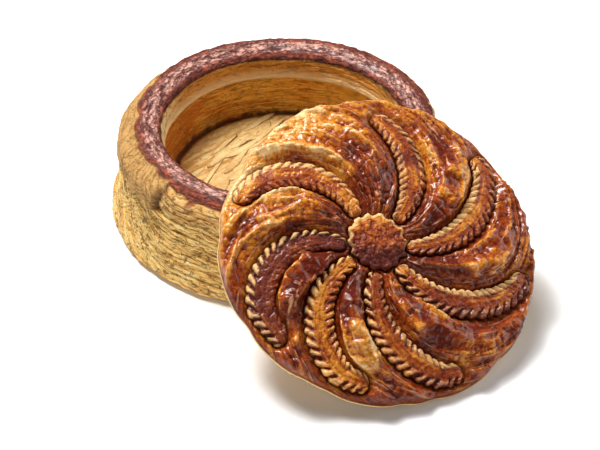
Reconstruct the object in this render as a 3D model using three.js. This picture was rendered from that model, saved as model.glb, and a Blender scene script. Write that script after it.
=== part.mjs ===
// A vol-au-vent: an open puff pastry case, with its decorated lid leaning on the rim.
// Millimetres, +Z up. The origin is the middle of the case's flat base, and the lid leans on the -Y side.
import * as THREE from 'three';

const { clamp, degToRad, lerp, smoothstep } = THREE.MathUtils;

// Case: a cup with a browned rim, a pale layered wall and a sunken floor
const CASE_HEIGHT = 60;
const RIM_RADIUS = 97;
const MOUTH_RADIUS = 77;
const RIM_ROUND = 2;
const SHOULDER_RADIUS = 97;
const RING_RADIUS = 99.5;
const WAIST_RADIUS = 101;
const BASE_RADIUS = 106;
const BASE_ROUND = 5;
const FOOT_HEIGHT = 3.5;
const RING_BOTTOM = 42;
const WAIST_HEIGHT = 24;
const FLOOR_HEIGHT = 14.5;
const FLOOR_RADIUS = 72;
const CREVICE_DEPTH = 2;
const BAND_TAPER = 2;
const UNDERCUT = 2.5;

// Relief of the case
const CASE_SIDES = 64;
const WALL_LEAVES = 9;
const LEAF_DEPTH = 1.5;
const LEAF_FACE = 0.8;
const LEAF_TUCK = 0.45;
const LEAF_SWAY = 3;
const OUT_OF_ROUND = 1.3;
const BULGE = 9;
const BULGE_AT = degToRad(195);
const BULGE_AT_SHOULDER = 0.65;
const RIM_WAVE = 0.8;
const MOUTH_WAVE = 1.6;
const FLOOR_BUMP = 1.3;
const FLAP_DEPTH = 2.4;
const FLAP_START = degToRad(95);
const FLAP_END = degToRad(197);
const FLAP_FADE_IN = degToRad(50);
const FLAP_CUT = degToRad(5);

// Lid: a puffed disc with a flat underside
const LID_RADIUS = 96;
const LID_EDGE = 7;
const LID_CROWN = 17;
const DOME_POWER = 2.4;
const LID_TILT = degToRad(28.35);
const LID_SIDEWAYS = -2.5;
const LOBE_HEIGHT = 3.6;
const LOBE_INNER_FADE = [23, 45];
const LOBE_OUTER_FADE = [69, 86];
const LOBE_COLUMNS = 6;
const EDGE_SWELL = 1.5;
const NOTCH_DEPTH = 1.6;
const NOTCH_AWAY = degToRad(14);
const NOTCH_WIDTH = degToRad(5);
const FLAT_DEPTH = 4;
const FLAT_AT = degToRad(125);
const FLAT_WIDTH = degToRad(28);

// Crescents: fluted strips in a pinwheel, laid by hand, so each follows an arc of its own.
// Each row: direction and distance from the pattern's centre to the arc's centre, the arc's radius,
// and the angle along the arc at which the strip ends, counted from the arc's farthest point.
const PATTERN_CENTRE = new THREE.Vector2(-5, 0);
const PINWHEEL_REACH = 84;
const CRESCENTS = [
  [93.7, 52, 48.1, -60],
  [152.9, 47.5, 37.9, -25],
  [206.2, 49.3, 35.9, 0],
  [255.2, 49.6, 42.2, -28],
  [302.6, 54.2, 47.4, -46],
  [353.1, 54, 49.2, -46],
  [50.4, 56.3, 56.1, -58],
].map(([towards, reach, arc, end]) => ({ towards: degToRad(towards), reach, arc, end: degToRad(end) }));
const CRESCENT_INNER_REACH = 21.5;
const CRESCENT_WIDTH = 17;
const CRESCENT_TAPER = [0.14, 0.8];
const CRESCENT_EDGE = 3;
const CRESCENT_CROWN = 5.5;
const CRESCENT_SHOULDER = 0.8;
const CRESCENT_HALF_SPREAD = degToRad(12);
const EDGE_MARGIN = 3;
const TOOTH_PITCH = 5.8;
const TOOTH_DEPTH = 1.2;

// Rosette: a small fluted disc over the middle of the pinwheel
const ROSETTE_RADIUS = 17.5;
const ROSETTE_EDGE = 2.8;
const ROSETTE_CROWN = 5;
const ROSETTE_FLUTES = 14;
const FLUTE_DEPTH = 0.9;
const SIDES_PER_FLUTE = 3;

const GAP = 0.4;

const CASE_CRUST = new THREE.MeshStandardMaterial({ color: 0xc79a55, roughness: 0.7, metalness: 0 });
const LID_CRUST = new THREE.MeshStandardMaterial({ color: 0x8e4a22, roughness: 0.35, metalness: 0 });
const CRESCENT_CRUST = new THREE.MeshStandardMaterial({ color: 0xb4773a, roughness: 0.4, metalness: 0 });
const ROSETTE_CRUST = new THREE.MeshStandardMaterial({ color: 0x7b4526, roughness: 0.6, metalness: 0 });

// A closed skin over a row of rings of points, with a fan over the first ring and the last.
// Each ring runs anticlockwise as seen from the last ring's side.
function skin(rings) {
  const count = rings[0].length;
  const points = rings.flat();
  const triangles = [];
  for (let row = 0; row + 1 < rings.length; row += 1) {
    for (let i = 0; i < count; i += 1) {
      const a = row * count + i;
      const b = row * count + ((i + 1) % count);
      triangles.push(a, b, b + count, a, b + count, a + count);
    }
  }
  const fan = (row, facesForward) => {
    const middle = new THREE.Vector3();
    rings[row].forEach((point) => middle.addScaledVector(point, 1 / count));
    const centre = points.push(middle) - 1;
    for (let i = 0; i < count; i += 1) {
      const a = row * count + i;
      const b = row * count + ((i + 1) % count);
      triangles.push(centre, facesForward ? a : b, facesForward ? b : a);
    }
  };
  fan(0, false);
  fan(rings.length - 1, true);
  return new THREE.BufferGeometry().setFromPoints(points).setIndex(triangles);
}

// A ring round the Z axis from a function of the angle that gives [radius, height]
function ring(sides, shape) {
  return Array.from({ length: sides }, (_, i) => {
    const angle = (i / sides) * 2 * Math.PI;
    const [radius, height] = shape(angle);
    return new THREE.Vector3(radius * Math.cos(angle), radius * Math.sin(angle), height);
  });
}

function mesh(name, geometry, material) {
  geometry.computeVertexNormals();
  const made = new THREE.Mesh(geometry, material);
  made.name = name;
  return made;
}

// Case

function outOfRound(angle) {
  return OUT_OF_ROUND * (0.6 * Math.sin(2 * angle + 0.4) + 0.4 * Math.sin(3 * angle + 1.9));
}

// The case rose more on one side, so its wall bulges out there
function bulge(angle) {
  return BULGE * (0.5 + 0.5 * Math.cos(angle - BULGE_AT)) ** 2;
}

// The lowest leaf of the ring hangs over the wall on one side, and ends in a cut
function flap(angle) {
  const turn = (angle + 2 * Math.PI) % (2 * Math.PI);
  const rises = smoothstep(turn, FLAP_START, FLAP_START + FLAP_FADE_IN);
  const ends = 1 - smoothstep(turn, FLAP_END - FLAP_CUT, FLAP_END);
  return FLAP_DEPTH * rises * ends;
}

// The wall is a stack of leaves. Each one stands out at its lower edge and tucks in under the next.
function wallRings() {
  const top = CASE_HEIGHT - 2 * RIM_ROUND;
  const side = new THREE.SplineCurve([
    new THREE.Vector2(BASE_RADIUS, FOOT_HEIGHT),
    new THREE.Vector2(WAIST_RADIUS, WAIST_HEIGHT),
    new THREE.Vector2(RING_RADIUS, RING_BOTTOM),
    new THREE.Vector2(SHOULDER_RADIUS, top),
  ]);
  const ringLeaf = Math.round((WALL_LEAVES * (RING_BOTTOM - FOOT_HEIGHT)) / (top - FOOT_HEIGHT));
  const rings = [];
  for (let leaf = 0; leaf < WALL_LEAVES; leaf += 1) {
    [0, LEAF_FACE].forEach((part) => {
      const rise = (leaf + part) / (WALL_LEAVES - 1 + LEAF_FACE);
      const sways = Math.sin(Math.PI * rise);
      const point = side.getPoint(rise);
      rings.push(ring(CASE_SIDES, (angle) => {
        const swell = 0.55 + 0.45 * Math.sin(3 * angle + 2.4 * leaf) * Math.sin(2 * angle + 1.3 * leaf);
        const standsOut = part === 0 ? LEAF_DEPTH * swell : -LEAF_TUCK;
        const hangsOver = leaf === ringLeaf && part === 0 ? flap(angle) : 0;
        const sway = LEAF_SWAY * sways * Math.sin(2 * angle + 0.9);
        const swollen = outOfRound(angle) + bulge(angle) * lerp(1, BULGE_AT_SHOULDER, rise);
        return [point.x + swollen + standsOut + hangsOver, point.y + sway];
      }));
    });
  }
  return rings;
}

// The ring was cut by hand, so the mouth isn't quite round
function mouthWave(angle) {
  return MOUTH_WAVE * (0.7 * Math.sin(2 * angle + 2.2) + 0.3 * Math.sin(5 * angle));
}

// The rim's top is browned and uneven, and its inner edge wanders more than its outer one
function rimRings() {
  const rimWave = (angle) => RIM_WAVE * (0.6 * Math.sin(3 * angle + 1) + 0.4 * Math.sin(7 * angle + 2.6));
  const crest = [
    [RIM_RADIUS + 0.5, CASE_HEIGHT - RIM_ROUND],
    [RIM_RADIUS - RIM_ROUND, CASE_HEIGHT - 0.3],
    [lerp(MOUTH_RADIUS, RIM_RADIUS, 0.5), CASE_HEIGHT],
    [MOUTH_RADIUS + RIM_ROUND, CASE_HEIGHT - 0.5],
    [MOUTH_RADIUS, CASE_HEIGHT - RIM_ROUND],
  ];
  return crest.map(([radius, height], row) => ring(CASE_SIDES, (angle) => {
    const inward = row / (crest.length - 1);
    const wander = lerp(outOfRound(angle), mouthWave(angle), inward);
    return [radius + wander, height + rimWave(angle)];
  }));
}

// Inside the mouth: the ring's cut face, the undercut wall below it, a crevice and the flaky floor
function cavityRings() {
  const bandFoot = MOUTH_RADIUS - BAND_TAPER;
  const band = [0.3, 0.55, 0.8, 1].map((drop, i) => [
    MOUTH_RADIUS - BAND_TAPER * drop - (i % 2) * 0.5 * LEAF_DEPTH,
    lerp(CASE_HEIGHT - RIM_ROUND, RING_BOTTOM, drop),
  ]);
  const hollow = new THREE.SplineCurve([
    new THREE.Vector2(bandFoot + UNDERCUT, RING_BOTTOM - UNDERCUT),
    new THREE.Vector2(bandFoot + 0.5 * UNDERCUT, lerp(FLOOR_HEIGHT, RING_BOTTOM, 0.5)),
    new THREE.Vector2(FLOOR_RADIUS + CREVICE_DEPTH, FLOOR_HEIGHT),
    new THREE.Vector2(FLOOR_RADIUS, FLOOR_HEIGHT - CREVICE_DEPTH),
  ]).getPoints(6).map(({ x, y }) => [x, y]);
  const walls = [...band, ...hollow].map(([radius, height]) => ring(CASE_SIDES, (angle) => {
    const above = smoothstep(height, FLOOR_HEIGHT, RING_BOTTOM);
    return [radius + above * mouthWave(angle), height];
  }));
  const floor = [0.95, 0.8, 0.62, 0.42, 0.2].map((share) => ring(CASE_SIDES, (angle) => {
    const bump = Math.sin(3 * angle + 9 * share) + 0.7 * Math.sin(5 * angle - 14 * share);
    return [FLOOR_RADIUS * share, FLOOR_HEIGHT + FLOOR_BUMP * bump * share * (1 - share) * 2.4];
  }));
  return [...walls, ...floor];
}

function caseGeometry() {
  const foot = [[1, 0], [0.25, 0.25]].map(([inset, rise]) => ring(CASE_SIDES, (angle) => [
    BASE_RADIUS - inset * BASE_ROUND + outOfRound(angle) + bulge(angle), rise * BASE_ROUND]));
  const base = ring(CASE_SIDES, () => [0.6 * BASE_RADIUS, 0]);
  return skin([base, ...foot, ...wallRings(), ...rimRings(), ...cavityRings()]);
}

// Lid

// Direction from the pattern's centre at which a crescent's arc passes a given radius
function crescentAngle({ towards, reach, arc }, radius) {
  const out = clamp(radius, ROSETTE_RADIUS, PINWHEEL_REACH);
  return towards - Math.acos((out ** 2 + reach ** 2 - arc ** 2) / (2 * out * reach));
}

// Turn from one angle to another, anticlockwise, from 0 up to a full circle
function turnFrom(start, end) {
  return ((end - start) % (2 * Math.PI) + 2 * Math.PI) % (2 * Math.PI);
}

// The spaces between the crescents at a radius: where each starts, and how wide it is
function spaces(radius) {
  const angles = CRESCENTS.map((crescent) => crescentAngle(crescent, radius));
  return angles.map((at, i) => ({
    start: at + CRESCENT_HALF_SPREAD,
    span: turnFrom(at, angles[(i + 1) % angles.length]) - 2 * CRESCENT_HALF_SPREAD,
  }));
}

// The dough puffs up into a lobe between each crescent and the next, and is flat at its two ends
function lobe(x, y) {
  const out = new THREE.Vector2(x, y).sub(PATTERN_CENTRE);
  const swell = spaces(out.length()).reduce((sum, { start, span }) => {
    const across = turnFrom(start, out.angle()) / span;
    return sum + (across < 1 ? Math.sin(Math.PI * across) ** 2 : 0);
  }, 0);
  const inner = smoothstep(out.length(), ...LOBE_INNER_FADE);
  const outer = 1 - smoothstep(Math.hypot(x, y), ...LOBE_OUTER_FADE);
  return LOBE_HEIGHT * swell * inner * outer;
}

// Height of the lid's top above its underside
function lidTop(x, y) {
  const share = clamp(Math.hypot(x, y) / LID_RADIUS, 0, 1);
  return lerp(LID_CROWN, LID_EDGE, share ** DOME_POWER) + lobe(x, y);
}

// The edge is pinched in on both sides of each crescent's end
const NOTCHES = CRESCENTS.flatMap(({ towards, reach, arc, end }) => {
  const at = towards + Math.atan2(arc * Math.sin(end), reach + arc * Math.cos(end));
  return [at - NOTCH_AWAY, at + NOTCH_AWAY];
});

// A soft dent round an angle, 1 at its middle
function dent(angle, at, width) {
  const away = turnFrom(at - Math.PI, angle) - Math.PI;
  return Math.exp(-((away / width) ** 2));
}

function lidRadius(angle) {
  const pinch = NOTCHES.reduce((sum, at) => sum + dent(angle, at, NOTCH_WIDTH), 0);
  return LID_RADIUS + EDGE_SWELL - NOTCH_DEPTH * pinch - FLAT_DEPTH * dent(angle, FLAT_AT, FLAT_WIDTH);
}

// Point of the lid's edge in a direction from the pattern's centre
function lidEdge(angle) {
  const direction = new THREE.Vector2(Math.cos(angle), Math.sin(angle));
  const lean = PATTERN_CENTRE.dot(direction);
  const reach = Math.sqrt(lean ** 2 - PATTERN_CENTRE.lengthSq() + lidRadius(angle) ** 2) - lean;
  return PATTERN_CENTRE.clone().addScaledVector(direction, reach);
}

// A ring of the lid at a share of the way out from the pattern's centre, on the top if no height is given.
// The columns of the lid's mesh run along the middle and both edges of each crescent and over the lobes.
function lidRing(share, height) {
  const angles = spaces(share * LID_RADIUS).flatMap(({ start, span }) => [
    ...[1.5, 1, 0.5].map((part) => start - part * CRESCENT_HALF_SPREAD),
    ...Array.from({ length: LOBE_COLUMNS + 1 }, (_, i) => start + (span * i) / LOBE_COLUMNS),
  ]);
  return angles.map((angle) => {
    const { x, y } = PATTERN_CENTRE.clone().lerp(lidEdge(angle), share);
    return new THREE.Vector3(x, y, height ?? lidTop(x, y));
  });
}

function lidGeometry() {
  const edge = [[0.9, 0], [0.96, 0], [0.99, 0.2], [1, 0.5], [0.985, 0.85]];
  const top = [0.955, 0.9, 0.84, 0.78, 0.71, 0.64, 0.57, 0.5, 0.43, 0.36, 0.28, 0.18];
  return skin([
    ...edge.map(([share, rise]) => lidRing(share, rise * LID_EDGE)),
    ...top.map((share) => lidRing(share)),
  ]);
}

// Crescents

// Middle of a strip at an angle along its arc. Near the lid's edge the strip bends to follow the edge.
function crescentPoint({ towards, reach, arc }, arcAngle, half) {
  return new THREE.Vector2(reach + arc * Math.cos(arcAngle), arc * Math.sin(arcAngle))
    .rotateAround(new THREE.Vector2(), towards)
    .add(PATTERN_CENTRE)
    .clampLength(0, LID_RADIUS - EDGE_MARGIN - half);
}

function crescentGeometry(crescent) {
  const { reach, arc, end } = crescent;
  const start = -Math.acos((CRESCENT_INNER_REACH ** 2 - reach ** 2 - arc ** 2) / (2 * reach * arc));
  const sweep = end - start;
  const stations = 2 * Math.round((arc * sweep) / TOOTH_PITCH);
  const step = sweep / stations;
  const rings = Array.from({ length: stations + 1 }, (_, i) => {
    const arcAngle = start + i * step;
    const taper = Math.sin(Math.PI * lerp(...CRESCENT_TAPER, i / stations));
    const tooth = (i % 2 === 0 ? -1 : 1) * TOOTH_DEPTH;
    const plain = 0.5 * CRESCENT_WIDTH * taper;
    const middle = crescentPoint(crescent, arcAngle, plain);
    const ahead = crescentPoint(crescent, arcAngle + step, plain).sub(middle).normalize();
    const left = new THREE.Vector2(-ahead.y, ahead.x);
    const crown = lerp(CRESCENT_EDGE, CRESCENT_CROWN, taper);
    const shoulder = lerp(CRESCENT_EDGE, crown, CRESCENT_SHOULDER);
    const section = [[1, 0], [1, CRESCENT_EDGE], [0.5, shoulder], [0, crown], [-0.5, shoulder],
      [-1, CRESCENT_EDGE], [-1, 0]];
    return section.map(([side, rise]) => {
      const { x, y } = middle.clone().addScaledVector(left, side * (plain + tooth));
      return new THREE.Vector3(x, y, lidTop(x, y) + GAP + rise);
    });
  });
  return skin(rings);
}

// Rosette

function rosetteGeometry() {
  const sides = ROSETTE_FLUTES * SIDES_PER_FLUTE;
  const rows = [
    [0.45, 0, 0],
    [0.95, 0, 0.6],
    [1, 0.6 * ROSETTE_EDGE, 1],
    [0.95, ROSETTE_EDGE, 1],
    [0.7, lerp(ROSETTE_EDGE, ROSETTE_CROWN, 0.75), 0.4],
    [0.35, ROSETTE_CROWN, 0],
  ];
  const rings = rows.map(([share, rise, fluted]) => ring(sides, (angle) => {
    const radius = share * ROSETTE_RADIUS + fluted * FLUTE_DEPTH * Math.sin(ROSETTE_FLUTES * angle);
    const x = PATTERN_CENTRE.x + radius * Math.cos(angle);
    const y = PATTERN_CENTRE.y + radius * Math.sin(angle);
    return [radius, lidTop(x, y) + GAP + rise];
  }));
  return skin(rings).translate(PATTERN_CENTRE.x, PATTERN_CENTRE.y, 0);
}

// The whole part

// Highest value of a point's height along a direction, over a geometry's corners
function highest(geometry, direction) {
  const point = new THREE.Vector3();
  const { position } = geometry.attributes;
  let best = -Infinity;
  for (let i = 0; i < position.count; i += 1) {
    best = Math.max(best, point.fromBufferAttribute(position, i).dot(direction));
  }
  return best;
}

const caseShape = caseGeometry();
const lidShape = lidGeometry();

const volAuVent = new THREE.Group();
volAuVent.add(mesh('case', caseShape, CASE_CRUST));

// The lid's underside clears the rim by the gap, and its lowest point is on the ground
const lidUp = new THREE.Vector3(0, -Math.sin(LID_TILT), Math.cos(LID_TILT));
const lidDown = new THREE.Vector3(0, -Math.sin(LID_TILT), -Math.cos(LID_TILT));
const lidHeight = highest(lidShape, lidDown);
const rimReach = highest(caseShape, lidUp) + GAP;
const lidForward = (lidHeight * Math.cos(LID_TILT) - rimReach) / Math.sin(LID_TILT);

const lidGroup = new THREE.Group();
lidGroup.position.set(LID_SIDEWAYS, lidForward, lidHeight);
lidGroup.rotation.x = LID_TILT;
lidGroup.add(mesh('lid', lidShape, LID_CRUST));
CRESCENTS.forEach((crescent, i) => {
  lidGroup.add(mesh(`crescent_${i + 1}`, crescentGeometry(crescent), CRESCENT_CRUST));
});
lidGroup.add(mesh('rosette', rosetteGeometry(), ROSETTE_CRUST));
volAuVent.add(lidGroup);

export default volAuVent;
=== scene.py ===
# %% [markdown]
# # A vol-au-vent with its lid off
# A baked puff pastry case stands open, and its decorated lid leans on the rim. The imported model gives
# the size and the place of every piece. This lesson lays a fine crust over the same shapes with
# Geometry Nodes, and gives each piece the finish that it has when it comes out of the oven.

# %% Load the frame
import math
import random

import bpy
import numpy as np
from mathutils import Matrix, Vector


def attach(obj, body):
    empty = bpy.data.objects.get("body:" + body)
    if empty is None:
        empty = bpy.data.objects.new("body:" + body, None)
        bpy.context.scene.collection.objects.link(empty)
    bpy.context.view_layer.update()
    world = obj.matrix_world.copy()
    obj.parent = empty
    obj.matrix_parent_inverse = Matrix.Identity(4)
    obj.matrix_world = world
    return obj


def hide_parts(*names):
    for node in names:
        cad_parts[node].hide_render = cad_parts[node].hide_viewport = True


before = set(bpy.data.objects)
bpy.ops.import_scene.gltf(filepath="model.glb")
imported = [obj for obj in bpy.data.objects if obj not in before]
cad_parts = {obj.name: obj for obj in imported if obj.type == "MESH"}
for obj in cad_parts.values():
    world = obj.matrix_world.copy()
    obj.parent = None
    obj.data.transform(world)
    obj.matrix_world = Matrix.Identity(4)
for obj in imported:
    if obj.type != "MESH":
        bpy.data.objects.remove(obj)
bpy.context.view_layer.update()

MM = 0.001
TAU = 2 * math.pi


# %% [markdown]
# ## Camera
# The view is from above the lid's left, with a long lens. A camera can be turned by three angles, but a
# matrix made of its right, up and back directions shows plainly where it looks, and takes the slight
# roll as well.

# %% Camera
IMAGE_WIDTH = 600
FOCAL_PIXELS = 1600
VIEW_TURN = math.radians(28.4)
VIEW_RISE = math.radians(39.6)
VIEW_ROLL = math.radians(1.0)
VIEW_DISTANCE = 1.035
VIEW_AIM = Vector((-5.5, -34.2, 0)) * MM


def linked(name, data):
    """A new object in the scene."""
    made = bpy.data.objects.new(name, data)
    bpy.context.collection.objects.link(made)
    return made


back = Vector((-math.sin(VIEW_TURN) * math.cos(VIEW_RISE), -math.cos(VIEW_TURN) * math.cos(VIEW_RISE),
               math.sin(VIEW_RISE)))
level = Vector((math.cos(VIEW_TURN), -math.sin(VIEW_TURN), 0))
right = math.cos(VIEW_ROLL) * level + math.sin(VIEW_ROLL) * back.cross(level)
up = back.cross(right)

lens = bpy.data.cameras.new("camera")
lens.lens = lens.sensor_width * FOCAL_PIXELS / IMAGE_WIDTH
camera = linked("camera", lens)
stand = Matrix.Translation(VIEW_AIM + VIEW_DISTANCE * back)
camera.matrix_world = stand @ Matrix((right, up, back)).transposed().to_4x4()
bpy.context.scene.camera = camera
print("camera at", [round(value, 3) for value in stand.translation], "lens", round(lens.lens, 1), "mm")

# %% [markdown]
# ## Wires
# A shader and a Geometry Nodes tree are both graphs of sockets. Joining them by hand hides the rule
# that they work out, so one small class wraps a socket: a sum or a product of wires adds its Math node,
# and any other node comes from one method.

# %% A wire is a socket that takes part in sums
def plug(socket, value):
    """Joins a wire to a socket, or sets a plain value on it."""
    if isinstance(value, Wire):
        value.tree.links.new(value.socket, socket)
    else:
        socket.default_value = value


class Wire:
    """A socket of a node tree."""

    def __init__(self, tree, socket=None):
        self.tree = tree
        self.socket = socket

    def node(self, kind, settings=None, inputs=None, output=0):
        """Adds a node: first its settings, then the values or wires of its sockets."""
        made = self.tree.nodes.new(kind)
        for name, value in (settings or {}).items():
            setattr(made, name, value)
        for name, value in (inputs or {}).items():
            plug(made.inputs[name], value)
        return Wire(self.tree, made.outputs[output])

    def math(self, operation, *values):
        return self.node("ShaderNodeMath", {"operation": operation}, dict(enumerate(values)))

    def __add__(self, other):
        return self.math("ADD", self, other)

    def __sub__(self, other):
        return self.math("SUBTRACT", self, other)

    def __rsub__(self, other):
        return self.math("SUBTRACT", other, self)

    def __mul__(self, other):
        return self.math("MULTIPLY", self, other)

    def __truediv__(self, other):
        return self.math("DIVIDE", self, other)

    def __pow__(self, other):
        return self.math("POWER", self, other)

    __radd__ = __add__
    __rmul__ = __mul__


print("wires take part in sums, products, shares and powers")

# %% Words for the functions that the rules use
def sine(value):
    return value.math("SINE", value)


def cosine(value):
    return value.math("COSINE", value)


def absolute(value):
    return value.math("ABSOLUTE", value)


def whole(value):
    """The whole number at or below a value."""
    return value.math("FLOOR", value)


def bell(value):
    """1 at 0, and softly down to 0 on both sides."""
    return value.math("EXPONENT", 0 - value * value)


def size_of(x, y):
    squares = x * x + y * y
    return squares.math("SQRT", squares)


def larger(value, other):
    return value.math("MAXIMUM", value, other)


def smaller(value, other):
    return value.math("MINIMUM", value, other)


def part_of_turn(value, start):
    """Turn from an angle to another, anticlockwise, from 0 up to a full circle."""
    return value.math("FLOORED_MODULO", value - start, TAU)


def smooth(value, low, high):
    """0 below low, 1 above high, and a soft step between them."""
    return value.node("ShaderNodeMapRange", {"interpolation_type": "SMOOTHSTEP"},
                      {"Value": value, "From Min": low, "From Max": high})


def between(first, second, share):
    return first + (second - first) * share


print("functions of one and two values ready")

# %% Places and noise
def vector(x, y, z):
    anchor = next(value for value in (x, y, z) if isinstance(value, Wire))
    return anchor.node("ShaderNodeCombineXYZ", inputs={0: x, 1: y, 2: z})


def scaled(value, factor):
    return value.node("ShaderNodeVectorMath", {"operation": "SCALE"}, {0: value, "Scale": factor})


def parts(value):
    split = value.node("ShaderNodeSeparateXYZ", inputs={0: value}).socket.node
    return [Wire(value.tree, socket) for socket in split.outputs]


def noise(x, y, z, detail=2.0, roughness=0.5):
    """Cloudy noise from 0 to 1 at a point. One unit is about one cloud."""
    point = vector(x, y, z)
    return point.node("ShaderNodeTexNoise", inputs={
        "Vector": point, "Scale": 1.0, "Detail": detail, "Roughness": roughness})


def clouds(spot, fine, tall=None, detail=2.0, roughness=0.5):
    """Cloudy noise at a spot: its clouds in a millimetre, and along the third value if that differs."""
    x, y, z = spot
    return noise(x * fine, y * fine, z * (tall or fine), detail, roughness)


def ridges(value, sharpness):
    """Cloudy noise folded at its middle: the borders of its clouds become sharp ridges from 0 to 1."""
    return larger(1 - absolute(value - 0.5) * sharpness, 0.0)


print("places and noise ready")

# %% [markdown]
# ## Finishes
# Every material reads the crust in millimetres, from Object coordinates, and the masks that the
# Geometry Nodes stored on the mesh, such as how deep in a groove a point lies. Colours are given as
# they look on a screen, and turned into the linear values that a shader works with.

# %% Colours and one way to start and feed a material
def linear(share):
    """A screen's value from 0 to 1 as the linear value of a shader."""
    return share / 12.92 if share <= 0.04045 else ((share + 0.055) / 1.055) ** 2.4


def colour(red, green, blue):
    """A screen colour, 0 to 255, as the linear colour of a shader."""
    return [linear(value / 255) for value in (red, green, blue)] + [1]


def new_finish(name):
    """A new material with its Principled shader, and the place on the piece in mm as three wires."""
    finish = bpy.data.materials.new(name)
    finish.use_nodes = True
    tree = finish.node_tree
    point = Wire(tree).node("ShaderNodeTexCoord", output="Object")
    return finish, tree.nodes["Principled BSDF"], parts(scaled(point, 1 / MM))


def masks(wire, *names):
    """The masks of these names that the piece's mesh carries."""
    return [wire.node("ShaderNodeAttribute", {"attribute_name": name}, output="Fac") for name in names]


def tint(first, second, share):
    """From the first colour to the second."""
    return share.node("ShaderNodeMix", {"data_type": "RGBA"}, {0: share, 6: first, 7: second}, output=2)


def feed(shader, height, depth, **values):
    """Joins wires or plain values to the shader, with a bump of that depth in mm under its surface."""
    bump = {"Height": height, "Distance": depth * MM, "Strength": 1.0}
    values["Normal"] = height.node("ShaderNodeBump", inputs=bump)
    for name, value in values.items():
        plug(shader.inputs[name.replace("_", " ")], value)


def finished(finish):
    print(finish.name, len(finish.node_tree.nodes), "nodes")
    return finish


print("middle grey of a screen is", round(colour(128, 128, 128)[0], 3), "in a shader")

# %% [markdown]
# ### The case's crust
# Puff pastry is hundreds of thin leaves. On the wall they show edge on, pale gold with dark gaps. The
# rim was brushed with egg and came out mahogany and shiny, and the inside, which the heat reached last,
# is orange gold. Each of them could have a material of its own, but faces would then part them in hard
# steps. One material with masks keeps the borders between them ragged, as they are on the real crust.

# %% The colours of the case's crust
LEAF_GOLD, LEAF_PALE = colour(230, 164, 76), colour(255, 212, 124)
LEAF_AMBER, LEAF_CREAM_AND_HIGHLIGHT = colour(224, 156, 68), colour(255, 232, 164)
WALL_TOP_TAN, FLAP_TAN = colour(182, 128, 68), colour(182, 138, 78)
FLAP_EDGE_PAINTED_SHADOW, SKIRT_BROWN = colour(84, 44, 16), colour(158, 94, 50)
BAND_CREAM, BAND_GOLD, BAND_STROKE = colour(255, 228, 168), colour(212, 144, 56), colour(146, 82, 34)
LINING_ORANGE, LINING_GOLD = colour(214, 124, 24), colour(252, 190, 78)
GAP_BROWN, LIP_PAINTED_HIGHLIGHT = colour(104, 58, 18), colour(255, 236, 186)
BED_TAN, BED_CREAM = colour(168, 124, 62), colour(212, 182, 120)
RIM_DARK, RIM_RED = colour(88, 28, 18), colour(156, 74, 46)
RIM_PAINTED_SHEEN, RIM_CRACK = colour(234, 180, 162), colour(60, 12, 10)
CREVICE_PAINTED_SHADE = colour(60, 16, 8)
print("a leaf's gold is", [round(value, 2) for value in LEAF_GOLD], "in a shader")

# %% Patterns of the case's crust
FIBRE_TURN = math.radians(17)
RIM_TOP_STARTS, RIM_TOP_ENDS = (79.0, 83.0), (88.0, 93.0)


def fibres(x, y, z):
    """Noise drawn out along the direction in which the crumb tears."""
    along = x * math.cos(FIBRE_TURN) + y * math.sin(FIBRE_TURN)
    across = y * math.cos(FIBRE_TURN) - x * math.sin(FIBRE_TURN)
    return noise(along * 0.04, across * 0.3, z * 0.3, detail=4.0, roughness=0.6)


def across_leaf(count):
    """From -1 at one side of a leaf to 1 at the other."""
    return (count - whole(count)) * 2 - 1


def leaf_gaps(x, y, count, width):
    """Dark gaps between leaves, broken into dashes."""
    broken = smooth(clouds((x, y, whole(count)), 0.07, 5.1, detail=3.0), 0.42, 0.58)
    return smooth(absolute(across_leaf(count)), 1 - width, 1.0) * broken


def rim_glaze(x, y, grain):
    """The rim's cracked glaze and painted sheen: its colour, its height, and where the rim's top lies."""
    out = size_of(x, y)
    shards = noise(x / out * 9, y / out * 9, out * 0.35, detail=3.0, roughness=0.6)
    cracks = ridges(noise(x / out * 13, y / out * 13, out * 0.3), 9)
    on_top = smooth(out, *RIM_TOP_STARTS) * (1 - smooth(out + (shards - 0.5) * 14, *RIM_TOP_ENDS))
    # These patches vary the glaze from dark to red, and on the rim's top they carry a painted pink sheen,
    # a painted reflection of the light behind the case.
    red_and_sheen_patches = smooth(shards * 0.6 + grain * 0.4, 0.42, 0.58)
    glaze = tint(RIM_DARK, RIM_RED, red_and_sheen_patches)
    glaze = tint(glaze, RIM_PAINTED_SHEEN, red_and_sheen_patches * on_top * 0.88)
    return tint(glaze, RIM_CRACK, cracks * 0.75), shards - cracks * 0.6, on_top


print("crumb tears along", round(math.degrees(FIBRE_TURN)), "degrees")

# %% The case's crust
WALL_TOP_STARTS = (44.0, 54.0)
# Where the band fades from cream at its left and front to gold at its back and right: partly its own
# colour, partly painted light
BAND_PAINTED_LIGHT_FADE = (0.0, 45.0)


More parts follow.
